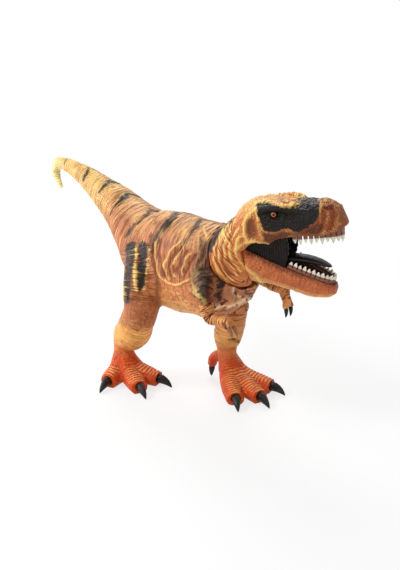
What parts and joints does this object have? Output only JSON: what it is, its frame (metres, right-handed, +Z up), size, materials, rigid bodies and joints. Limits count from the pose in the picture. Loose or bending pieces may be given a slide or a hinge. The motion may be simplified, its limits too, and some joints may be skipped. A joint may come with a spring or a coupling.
{
  "type": "toy theropod figure",
  "caption": "Striding toy theropod in soft vinyl with an open toothed mouth, turning head, forearms and lower legs, and a jaw that closes.",
  "frame": {"origin": "on the floor, under the middle of the figure's bounding box, with the soles at Z = 0", "axes": "+X forward from tail to snout, +Y to the figure's left, +Z up"},
  "size_m": [0.4126, 0.1442, 0.2227],
  "materials": {
    "body_shell": "soft vinyl, sprayed orange with black stripes and a pale dry-brushed relief",
    "head_shell": "soft vinyl, sprayed orange with black stripes and a pale dry-brushed relief",
    "right_eye": "orange-red with a black pupil",
    "left_eye": "orange-red with a black pupil",
    "jaw_pin": "plain steel wire",
    "palate": "black, half gloss",
    "upper_teeth": "ivory with red-brown gums",
    "lower_jaw": "soft vinyl, sprayed orange with black stripes and a pale dry-brushed relief",
    "mouth_lining": "black, half gloss",
    "lower_teeth": "ivory with red-brown gums",
    "tongue": "black, half gloss",
    "right_lower_leg": "soft vinyl, sprayed orange with black stripes and a pale dry-brushed relief",
    "right_outer_claw": "black, half gloss",
    "right_middle_claw": "black, half gloss",
    "right_inner_claw": "black, half gloss",
    "right_rear_claw": "black, half gloss",
    "left_lower_leg": "soft vinyl, sprayed orange with black stripes and a pale dry-brushed relief",
    "left_outer_claw": "black, half gloss",
    "left_middle_claw": "black, half gloss",
    "left_inner_claw": "black, half gloss",
    "left_rear_claw": "black, half gloss",
    "right_forearm": "soft vinyl, sprayed orange with black stripes and a pale dry-brushed relief",
    "right_outer_hand_claw": "black, half gloss",
    "right_inner_hand_claw": "black, half gloss",
    "left_forearm": "soft vinyl, sprayed orange with black stripes and a pale dry-brushed relief",
    "left_outer_hand_claw": "black, half gloss",
    "left_inner_hand_claw": "black, half gloss"
  },
  "bodies": {
    "body": {"body_shell": "body_shell"},
    "head": {"head_shell": "head_shell", "right_eye": "right_eye", "left_eye": "left_eye", "jaw_pin": "jaw_pin", "palate": "palate", "upper_teeth": "upper_teeth"},
    "jaw": {"lower_jaw": "lower_jaw", "mouth_lining": "mouth_lining", "lower_teeth": "lower_teeth", "tongue": "tongue"},
    "right_arm": {"right_forearm": "right_forearm", "right_outer_hand_claw": "right_outer_hand_claw", "right_inner_hand_claw": "right_inner_hand_claw"},
    "left_arm": {"left_forearm": "left_forearm", "left_outer_hand_claw": "left_outer_hand_claw", "left_inner_hand_claw": "left_inner_hand_claw"},
    "right_leg": {"right_lower_leg": "right_lower_leg", "right_outer_claw": "right_outer_claw", "right_middle_claw": "right_middle_claw", "right_inner_claw": "right_inner_claw", "right_rear_claw": "right_rear_claw"},
    "left_leg": {"left_lower_leg": "left_lower_leg", "left_outer_claw": "left_outer_claw", "left_middle_claw": "left_middle_claw", "left_inner_claw": "left_inner_claw", "left_rear_claw": "left_rear_claw"}
  },
  "joints": [
    {"name": "neck_swivel", "type": "hinge", "parent": "body", "child": "head", "pos_m": [0.0949, 0.01385, 0.155], "axis": [0.9186, 0.2462, 0.309], "range_deg": [-12, 12]},
    {"name": "jaw_hinge", "type": "hinge", "parent": "head", "child": "jaw", "pos_m": [0.12421, 0.01323, 0.17934], "axis": [0.4695, -0.8829, 0], "range_deg": [0, 18]},
    {"name": "right_arm_swivel", "type": "hinge", "parent": "body", "child": "right_arm", "pos_m": [0.1139, -0.03015, 0.124], "axis": [0.1853, 0.1555, -0.9703], "range_deg": [-30, 60]},
    {"name": "left_arm_swivel", "type": "hinge", "parent": "body", "child": "left_arm", "pos_m": [0.1139, 0.05185, 0.124], "axis": [0.9806, 0.1378, -0.1392], "range_deg": [-40, 60]},
    {"name": "right_knee_swivel", "type": "hinge", "parent": "body", "child": "right_leg", "pos_m": [0.00657, -0.02814, 0.07596], "axis": [-0.5736, 0, -0.8192], "range_deg": [-40, 40]},
    {"name": "left_knee_swivel", "type": "hinge", "parent": "body", "child": "left_leg", "pos_m": [0.06435, 0.04686, 0.08451], "axis": [-0.1392, 0, -0.9903], "range_deg": [-40, 40]}
  ]
}
